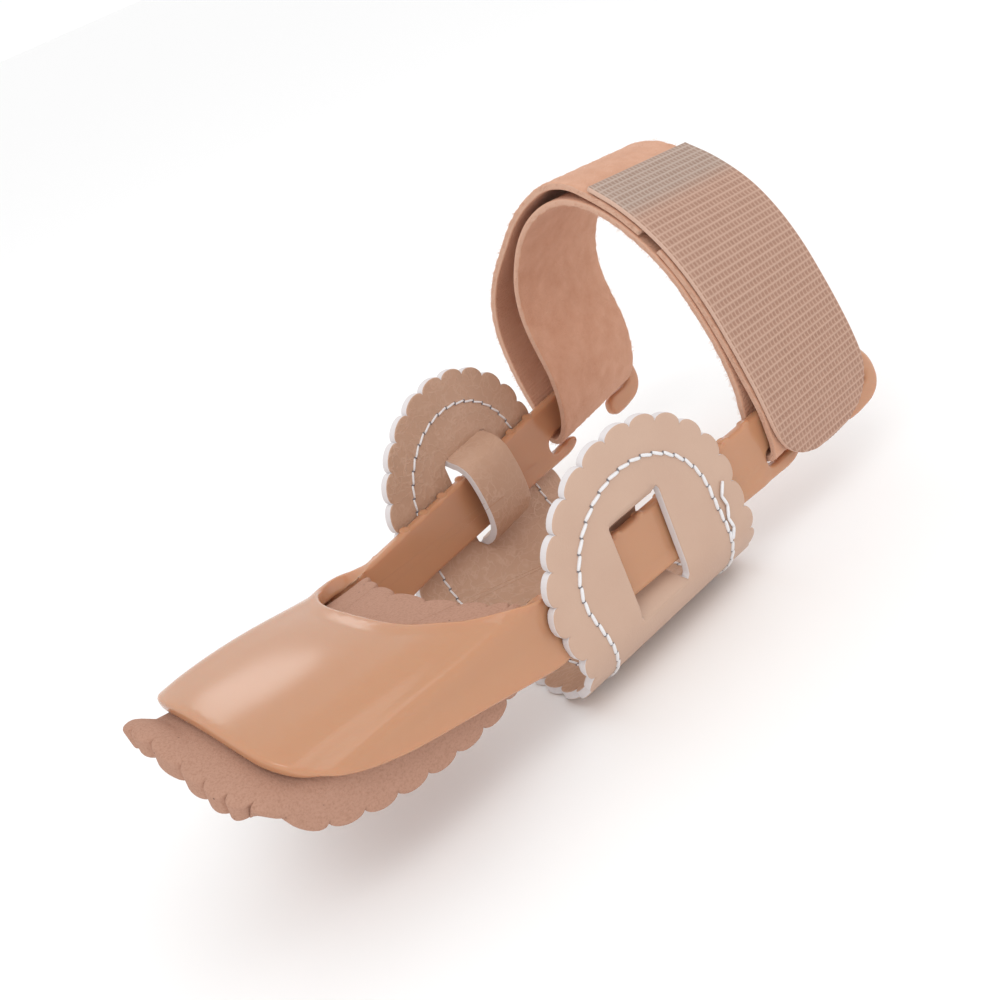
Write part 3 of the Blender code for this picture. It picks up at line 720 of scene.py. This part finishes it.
def crease_lines(m):
    """Fine net of creases that fades in and out, from 0 to 1."""
    warped = m.add("ShaderNodeVectorMath", operation="MULTIPLY_ADD")
    warped.inputs[1].default_value = (0.014, 0.014, 0.014)
    m.link(m.noise(160.0, 3.0), "Color", warped, 0)
    m.link(m.add("ShaderNodeTexCoord"), "Object", warped, 2)
    stretch = m.add("ShaderNodeMapping")
    stretch.inputs["Rotation"].default_value = (0.4, 0.3, 0.9)
    stretch.inputs["Scale"].default_value = (1.0, 2.4, 1.6)
    m.link(warped, "Vector", stretch, "Vector")
    cells = m.add("ShaderNodeTexVoronoi", feature="DISTANCE_TO_EDGE")
    m.link(stretch, "Vector", cells, "Vector")
    cells.inputs["Scale"].default_value = 210.0
    lines = m.grey_ramp(cells, "Distance", [(0.0, 0.7), (0.05, 0.32), (0.13, 0.0)])
    fade = m.grey_ramp(m.noise(70.0, 2.0), "Fac", [(0.3, 0.25), (0.62, 1.0)])
    both = m.add("ShaderNodeMath", operation="MULTIPLY")
    m.link(lines, "Color", both, 0)
    m.link(fade, "Color", both, 1)
    return both


def leather_material(name, colour, dark, crease=None):
    """Leather with a fine grain, uneven tone and, where crease is a colour, thin pale creases."""
    m = Nodes(name, colour, 0.42)
    tone = m.ramp(m.noise(90.0, 3.0), "Fac", [(0.3, dark), (0.7, colour)])
    m.colour_from(tone, "Color")
    m.set(Specular_IOR_Level=0.35)
    grain = m.bump(m.noise(3600.0, 2.0), "Fac", 0.22, 0.0002)
    if crease:
        lines = crease_lines(m)
        mix = m.add("ShaderNodeMix", data_type="RGBA")
        m.link(lines, 0, mix, 0)
        m.link(tone, "Color", mix, 6)
        mix.inputs[7].default_value = (*crease, 1.0)
        m.colour_from(mix, 2)
        m.bump(lines, 0, 0.35, 0.0003, grain)
    return m.mat


def plain_material(name, colour, roughness, grain=0.0, scale=3000.0):
    """Even material with optional fine grain."""
    m = Nodes(name, colour, roughness)
    if grain > 0:
        m.bump(m.noise(scale, 3.0), "Fac", grain, 0.0003)
    return m.mat


def pile_material(name, colour, light, rib):
    """Brushed loop pile, or its ribbed back."""
    m = Nodes(name, colour, 0.95)
    m.set(Specular_IOR_Level=0.1, Sheen_Weight=0.12)
    m.colour_from(m.ramp(m.noise(220.0, 4.0, 0.65), "Fac", [(0.3, colour), (0.75, light)]), "Color")
    fluff = m.bump(m.noise(1900.0, 4.0, 0.7), "Fac", 0.55, 0.0006)
    if rib > 0:
        wave = m.add("ShaderNodeTexWave", wave_type="BANDS", bands_direction="Y")
        wave.inputs["Scale"].default_value = 42.0
        wave.inputs["Distortion"].default_value = 0.25
        m.coordinates("UV", wave)
        m.bump(wave, "Fac", rib, 0.0004, fluff)
    return m.mat


def hook_material():
    """Hook tape: pale greyish weld band at its start, warmer below, and painted shade between the ribs and
    between the hooks.
    """
    m = Nodes("hook_tape_fine", (0.61, 0.376, 0.262), 0.6)
    split = m.add("ShaderNodeSeparateXYZ")
    m.coordinates("UV", split)
    tone = m.ramp(split, "Y", [
        (0.0, (0.48, 0.37, 0.31)), (0.085, (0.47, 0.36, 0.30)), (0.12, (0.52, 0.335, 0.255)),
        (0.5, (0.51, 0.325, 0.245)), (0.72, (0.53, 0.335, 0.255)),
    ])
    higher = m.add("ShaderNodeMath", operation="MAXIMUM")
    for into, (axis, pitch) in enumerate((("Y", HOOK_PITCH), ("X", HOOK_PITCH * 0.7))):
        turn = m.add("ShaderNodeMath", operation="MULTIPLY")
        turn.inputs[1].default_value = 2.0 * math.pi * UV_UNIT / pitch
        m.link(split, axis, turn, 0)
        wave = m.add("ShaderNodeMath", operation="COSINE")
        m.link(turn, 0, wave, 0)
        m.link(wave, 0, higher, into)
    # painted shade: darker between the ribs and between the hooks, full tone on their crests
    shade = m.ramp(higher, 0, [
        (0.0, (0.72, 0.64, 0.60)), (0.5, (0.80, 0.74, 0.71)), (0.97, (1.0, 1.0, 1.0)),
    ])
    m.colour_from(m.times(tone, shade), 2)
    m.set(Specular_IOR_Level=0.3)
    m.bump(m.noise(3200.0, 2.0), "Fac", 0.3, 0.0003)
    return m.mat


def nub_points():
    """Edge of one arm's row of small round nubs, from the heel to the toes."""
    points = []
    for nub in reversed(range(NUB_COUNT)):
        for degrees in range(0, 181, 20):
            angle = math.radians(degrees)
            rise = NUB_RADIUS * math.sin(angle)
            points.append((nub * NUB_PITCH + NUB_RADIUS * math.cos(angle), ARM_TOP_W - rise))
    return points


def both_sides(half):
    """Closed outline from the half of it that has w above 0."""
    return half + [(x, -w) for x, w in reversed(half) if w > 1e-6]


def shell_relief(flat):
    """Rise of the splint's two skins: bead, flared rim, shell lines and the arms' lower band."""
    x, w = flat[:, 0], np.abs(flat[:, 1])
    flare = rim_flare(x, w)
    lip_line = np.array(SHELL_LIP[::-1])
    lip_x = np.interp(w, lip_line[:, 1], lip_line[:, 0])
    near_lip = np.where((x < -6.0) & (w < ARM_TOP_W), lip_x - x, 99.0)
    bead = smooth((LIP_BEAD_WIDTH - near_lip) / 2.0)
    band = smooth((w - ARM_TOP_W - LOWER_LIP_DROP) / 0.8) * smooth((x + 14.0) / 3.0)
    band = LOWER_LIP * band * smooth((44.0 - x) / 3.0)
    along = smooth((x + 66.0) / 8.0) * smooth((-20.0 - x) / 12.0)
    ridge = RIDGE_RISE * np.exp(-((w - RIDGE_W) / 2.6) ** 2)
    groove = GROOVE_DEPTH * np.exp(-((w - GROOVE_W) / 2.8) ** 2)
    lines = along * (ridge - groove)
    return flare + LIP_BEAD * bead + band + lines, -flare + 0.2 * bead - 0.8 * lines


def splint_frame():
    """Toe shell, lip and both arms in one moulding."""
    lower = [(x, ARM_TOP_W - z) for x, z in ARM_UNDERSIDE]
    lower += [(STRAP_FRONT + x, ARM_TOP_W - z) for x, z in ARM_SLOT]
    edge = smooth_line(list(SHELL_EDGE) + lower, 4)
    lip = smooth_line(SHELL_LIP, 5)
    half = [tuple(p) for p in edge] + nub_points() + [tuple(p) for p in lip]
    outline = spaced(both_sides(half), 1.3)
    mats = [plastic_material()] * 3
    return sheet_mesh("splint_fine", outline, [], place_frame, FRAME_WALL, 0.8, 1.1, mats, shell_relief)


def toe_pad():
    """Foam pad under the shell."""
    outline = scalloped(both_sides([tuple(p) for p in smooth_line(PAD_EDGE, 5)]))
    return sheet_mesh("toe_pad_fine", outline, [], place_pad, PAD_THICK, 0.6, 1.0, [foam_material()] * 3)


def sling_edge(inset=0.0):
    """Outline of the sling to its scallop valleys, moved inwards by an inset."""
    rows = np.linspace(SLING_SPINE[0][0], SLING_SPINE[-1][0], 81)
    centre = table_curve(SLING_SPINE, rows, 1)
    half = table_curve(SLING_SPINE, rows, 2) - inset
    rear = list(np.stack([centre + half, rows], axis=1))
    front = list(np.stack([centre - half, rows], axis=1))
    arcs = []
    for end, (s, middle, radius) in ((1.0, SLING_SPINE[-1]), (-1.0, SLING_SPINE[0])):
        angle = np.radians(np.arange(4, 180, 4))
        reach = end * (radius - inset)
        arcs.append(list(np.stack([middle + reach * np.cos(angle), s + reach * np.sin(angle)], axis=1)))
    return rear + arcs[0] + front[::-1] + arcs[1]


def slit_holes():
    """The two slits in each flap."""
    holes = []
    for side, strip in ((-1.0, NEAR_STRIP), (1.0, FAR_STRIP)):
        rows = side * np.linspace(SLIT_TOP, SLIT_BOTTOM, 28)
        for x in strip:
            left = [(x - SLIT_WIDTH / 2.0, s) for s in rows[1:-1]]
            right = [(x + SLIT_WIDTH / 2.0, s) for s in rows[1:-1]]
            holes.append([(x, rows[0])] + left + [(x, rows[-1])] + right[::-1])
    return holes


def bunion_sling():
    """Scalloped leather sling threaded over both arms."""
    inner = leather_material("leather_inner", (0.53, 0.335, 0.235), (0.48, 0.295, 0.2), (0.60, 0.40, 0.295))
    outer = leather_material("leather_outer", (0.56, 0.38, 0.285), (0.535, 0.355, 0.265))
    edge = plain_material("leather_edge", (0.70, 0.66, 0.66), 0.8, 0.3)
    mats = [inner, outer, edge]
    outline = scalloped(sling_edge())
    return sheet_mesh("bunion_sling_fine", outline, slit_holes(), place_sling, LEATHER, 0.35, 1.15, mats)


def thread_rings(a, b, radius):
    """Centres and radii of the rings of one short round-ended thread from a to b."""
    length = np.linalg.norm(b - a)
    axis = (b - a) / length
    rings = [(a - axis * 0.3 * radius, 0.35 * radius)]
    rings += [(a + axis * length * share, fat * radius) for share, fat in
              ((0.0, 0.8), (0.25, 1.0), (0.75, 1.0), (1.0, 0.8))]
    rings.append((b + axis * 0.3 * radius, 0.35 * radius))
    return axis, rings


def stitch_mesh(name, segments, radius, mat):
    """One mesh of short round-ended threads, each from a point to another."""
    sides = 6
    points = []
    faces = []
    for a, b in segments:
        axis, rings = thread_rings(a, b, radius)
        helper = [0.0, 0.0, 1.0] if abs(axis[2]) < 0.9 else [0.0, 1.0, 0.0]
        aside = np.cross(axis, helper)
        aside /= np.linalg.norm(aside)
        other = np.cross(axis, aside)
        start = len(points)
        for centre, fat in rings:
            for k in range(sides):
                angle = 2.0 * math.pi * k / sides
                points.append(centre + fat * (math.cos(angle) * aside + math.sin(angle) * other))
        for p in range(start, start + (len(rings) - 1) * sides, sides):
            for k in range(sides):
                after = (k + 1) % sides
                faces.append((p + k, p + after, p + sides + after, p + sides + k))
        faces.append(tuple(start + k for k in reversed(range(sides))))
        faces.append(tuple(start + (len(rings) - 1) * sides + k for k in range(sides)))
    obj = new_object(name, points, faces, [mat])
    shade_smooth(obj.data)
    return obj


def on_sling(flat, height, lowest, normal=None):
    """Points at a height over the sling's middle surface, kept above a lowest point over the floor."""
    away = normals_of(place_sling, flat) if normal is None else normal
    points = place_sling(flat[:, 0], flat[:, 1]) + away * height
    points[:, 2] = np.maximum(points[:, 2], lowest - SLING_DEPTH)
    return points


def sling_stitches():
    """White lock stitches round the sling on both faces, and grey dashes at the stitch holes that are painted
    shade.
    """
    loop = np.array(turned(sling_edge(STITCH_INSET)))
    closed = np.vstack([loop, loop[:1]])
    at = stations_of(closed)
    count = round(at[-1] / STITCH_PITCH)
    pitch = at[-1] / count
    starts = np.arange(count) * pitch

    def flat_at(s):
        return np.stack([np.interp(s % at[-1], at, closed[:, k]) for k in (0, 1)], axis=1)

    # grey dashes across the stitch line at each hole: painted shade in the stitch holes
    shade_flat = flat_at(starts + 0.97 * pitch)
    shade_normal = normals_of(place_sling, shade_flat)
    across = HOLE_SHADE_HALF_LENGTH * right_of(unit(flat_at(starts + pitch) - flat_at(starts + 0.9 * pitch)))
    white = []
    hole_shades = []
    for side, fat in ((-1.0, OUTER_THREAD), (1.0, INNER_THREAD)):
        height = side * (LEATHER / 2.0 + fat * 0.35)
        rows = []
        for share, aside in ((0.05, STITCH_SLANT), (0.9, -STITCH_SLANT)):
            middle = starts + share * pitch
            slant = aside * right_of(unit(flat_at(middle + 0.3) - flat_at(middle - 0.3)))
            rows.append(on_sling(flat_at(middle) + slant, height, fat + 0.05))
        white.append((list(zip(*rows)), fat))
        height = side * (LEATHER / 2.0 + 0.08)
        ends = [on_sling(shade_flat + sign * across, height, 0.3, shade_normal) for sign in (-1.0, 1.0)]
        hole_shades += list(zip(*ends))
    return white, hole_shades


def back_tack():
    """Second row of thread over the near flap's rear stitches."""
    flat = np.array([(x, -sling_end(z)) for x, z in BACK_TACK])
    points = place_sling(flat[:, 0], flat[:, 1])
    points -= normals_of(place_sling, flat) * (LEATHER / 2.0 + 0.42)
    return list(zip(points, points[1:]))


def pile_relief(flat):
    """Slight unevenness of the loop face."""
    x, s = flat[:, 0], flat[:, 1]
    return 0.05 * np.sin(x * 3.1 + s * 1.7) + 0.05 * np.sin(x * 5.3 - s * 4.1), 0.0


def foot_strap():
    """Loop strap through both slots."""
    length, place = path_place(strap_path())
    outline = spaced([(STRAP_REAR, 0.0), (STRAP_REAR, length), (STRAP_FRONT, length), (STRAP_FRONT, 0.0)], 1.0)
    loops = pile_material("loop_pile_face", (0.62, 0.33, 0.215), (0.71, 0.41, 0.285), 0.0)
    back = pile_material("loop_pile_back", (0.66, 0.36, 0.24), (0.72, 0.42, 0.29), 0.18)
    edge = plain_material("loop_pile_edge", (0.64, 0.40, 0.29), 0.95, 0.6, 1500.0)
    mats = [loops, back, edge]
    obj = sheet_mesh("foot_strap_fine", outline, [], place, STRAP_THICK, 0.35, 0.9, mats, pile_relief)
    return obj, length


def strap_fuzz(mat):
    """Short stray fibres along the strap's edges and over its loop face."""
    length, place = path_place(strap_path())
    rng = np.random.default_rng(7)
    count = 7000
    s = rng.uniform(1.0, length - 1.0, count)
    kind = rng.uniform(0.0, 1.0, count)
    on_front = kind < 0.35
    on_edge = kind < 0.7
    x = np.where(on_edge, STRAP_REAR, rng.uniform(STRAP_FRONT, STRAP_REAR, count))
    x = np.where(on_front, STRAP_FRONT, x)
    normal = normals_of(place, np.stack([x, s], axis=1))
    level = np.where(on_edge, rng.uniform(-0.35, 1.0, count), 1.0) * STRAP_THICK / 2.0
    base = place(x, s) + normal * level[:, None]
    away = np.where(on_front, -1.0, np.where(on_edge, 1.0, 0.0))
    reach = rng.uniform(0.25, 0.75, count)
    lean = rng.normal(0.0, 0.35, (count, 3))
    out = np.stack([away, np.zeros(count), np.zeros(count)], axis=1)
    out += normal * np.where(on_edge, 0.35, 0.7)[:, None]
    tip = base + (out + lean) * reach[:, None]
    side = unit(np.cross(out, rng.normal(0.0, 1.0, (count, 3))))
    third = unit(np.cross(side, out))
    feet = [base + FIBRE_THICK * (math.cos(a) * side + math.sin(a) * third) for a in (0.0, 2.1, 4.2)]
    points = np.stack(feet + [tip], axis=1).reshape(-1, 3)
    sides = ((2, 1, 0), (0, 1, 3), (1, 2, 3), (2, 0, 3))
    faces = [tuple(4 * i + corner for corner in face) for i in range(count) for face in sides]
    return new_object("strap_fuzz", points, faces, [mat])


def hook_outline(length):
    """Flat outline of the hook tape, square at its weld and round at its end."""
    half = STRAP_WIDTH / 2.0
    arc = []
    for degrees in range(0, 181, 6):
        angle = math.radians(degrees)
        across = math.copysign(abs(math.cos(angle)) ** 0.8, math.cos(angle))
        rise = math.sin(angle) ** 0.8 if 0 < degrees < 180 else 0.0
        arc.append((STRAP_MID + half * across, length - HOOK_END_ROUND + HOOK_END_ROUND * rise))
    return spaced([(STRAP_REAR, 0.0)] + arc + [(STRAP_FRONT, 0.0)], 0.5)


def hook_tab():
    """Hook tape with its cross ribs and the small hooks between them."""
    length, place = path_place(HOOK_PATH)
    step = 0.33

    def relief(flat):
        x, s = flat[:, 0], flat[:, 1]
        rib = np.cos(2.0 * math.pi * s / HOOK_PITCH)
        row = np.floor(s / HOOK_PITCH + 0.5)
        hook = np.cos(2.0 * math.pi * (x / HOOK_SPACING + 0.37 * (row % 3)))
        rim = np.minimum(np.minimum(x - STRAP_FRONT, STRAP_REAR - x), np.minimum(s, length - s + 4.0))
        down = RIB_HEIGHT * np.clip(rib, 0.0, 1.0) ** 0.8 - 0.12
        down += HOOK_HEIGHT * np.clip(-rib, 0.0, 1.0) * np.clip(hook, 0.0, 1.0)
        return 0.0, down * smooth((rim - 0.7) / 0.8)

    inner = plain_material("hook_tape_back", (0.47, 0.255, 0.165), 0.9, 0.4)
    edge = plain_material("hook_tape_edge", (0.66, 0.45, 0.35), 0.8, 0.4)
    mats = [inner, hook_material(), edge]
    obj = sheet_mesh("hook_tab_fine", hook_outline(length), [], place, HOOK_THICK, 0.3, step, mats, relief)
    return obj, length


def area_light(name, place, aim, size, power):
    """Rectangular soft light."""
    data = bpy.data.lights.new(name, "AREA")
    data.shape = "RECTANGLE"
    data.size, data.size_y = size
    data.energy = power
    obj = bpy.data.objects.new(name, data)
    bpy.context.scene.collection.objects.link(obj)
    obj.location = place
    direction = Vector(aim) - Vector(place)
    obj.rotation_euler = direction.to_track_quat("-Z", "Y").to_euler()


def floor():
    """Large pale floor."""
    size = FLOOR_HALF_SIZE
    corners = [(-size, -size, 0.0), (size, -size, 0.0), (size, size, 0.0), (-size, size, 0.0)]
    pale = plain_material("pale_floor", (0.95, 0.95, 0.95), 1.0)
    new_object("floor", corners, [(0, 1, 2, 3)], [pale], 0.0)


def camera():
    """Camera at the photo's angle."""
    a, e, r = (math.radians(v) for v in (CAMERA_AZIMUTH, CAMERA_HEIGHT, CAMERA_ROLL))
    back = np.array([math.sin(a) * math.cos(e), -math.cos(a) * math.cos(e), math.sin(e)])
    right = np.cross(-back, [0.0, 0.0, 1.0])
    right /= np.linalg.norm(right)
    up = np.cross(right, -back)
    rolled_right = math.cos(r) * right - math.sin(r) * up
    rolled_up = math.sin(r) * right + math.cos(r) * up
    place = (CAMERA_PLACE + SHIFT) * MM
    columns = [rolled_right, rolled_up, back, place]
    rows = [[column[i] for column in columns] for i in range(3)] + [[0.0, 0.0, 0.0, 1.0]]
    data = bpy.data.cameras.new("camera")
    data.sensor_width = SENSOR_WIDTH
    data.lens = CAMERA_LENS
    data.clip_start = 0.01
    obj = bpy.data.objects.new("camera", data)
    bpy.context.scene.collection.objects.link(obj)
    obj.matrix_world = Matrix(rows)
    bpy.context.scene.camera = obj


def studio():
    """White surroundings and soft lights."""
    world = bpy.data.worlds.new("studio")
    world.use_nodes = True
    background = world.node_tree.nodes["Background"]
    background.inputs["Color"].default_value = (1.0, 1.0, 1.0, 1.0)
    background.inputs["Strength"].default_value = 1.02
    bpy.context.scene.world = world
    area_light("key", (-0.45, -0.35, 0.8), (0.0, 0.0, 0.03), (0.5, 0.3), 1.5)
    area_light("streak", (0.28, 0.61, 0.43), (-0.056, 0.0, 0.038), (0.15, 0.15), 0.15)
    area_light("near_streak", (0.22, -0.52, 0.73), (-0.05, -0.02, 0.03), (0.4, 0.3), 0.4)
    bpy.context.scene.view_settings.view_transform = "Standard"


def ride_along(obj):
    """Body of a piece."""
    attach(obj, "root")


def finish_piece(obj, node):
    """Let a fine piece stand for its plain node."""
    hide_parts(node)
    ride_along(obj)


def dress_sling():
    """Sling with its stitches."""
    sling = bunion_sling()
    finish_piece(sling, "bunion_sling")
    thread = plain_material("thread_white", (0.80, 0.79, 0.80), 0.55)
    # dark grey dashes at the stitch holes: painted shade in the holes
    grey = plain_material("stitch_hole_shade", (0.20, 0.18, 0.19), 0.7)
    white, hole_shades = sling_stitches()
    for i, (segments, fat) in enumerate(white):
        ride_along(stitch_mesh(f"sling_stitches_{i}", segments, fat, thread))
    ride_along(stitch_mesh("sling_stitch_hole_shade", hole_shades, HOLE_SHADE_RADIUS, grey))
    ride_along(stitch_mesh("sling_back_tack", back_tack(), TACK_THREAD, thread))
    outline = np.array(scalloped(sling_edge())) * MM


def dress_strap():
    """Foot strap with its stray fibres, and the hook tape that lies on it."""
    strap, strap_length = foot_strap()
    finish_piece(strap, "foot_strap")
    ride_along(strap_fuzz(plain_material("strap_fibre", (0.72, 0.47, 0.35), 0.9)))
    tab, tab_length = hook_tab()
    finish_piece(tab, "hook_tab")


def main():
    """Dress the part and light it."""
    frame_obj = splint_frame()
    finish_piece(frame_obj, "splint_frame")
    pad = toe_pad()
    finish_piece(pad, "toe_pad")
    dress_sling()
    dress_strap()
    floor()
    studio()
    camera()


main()
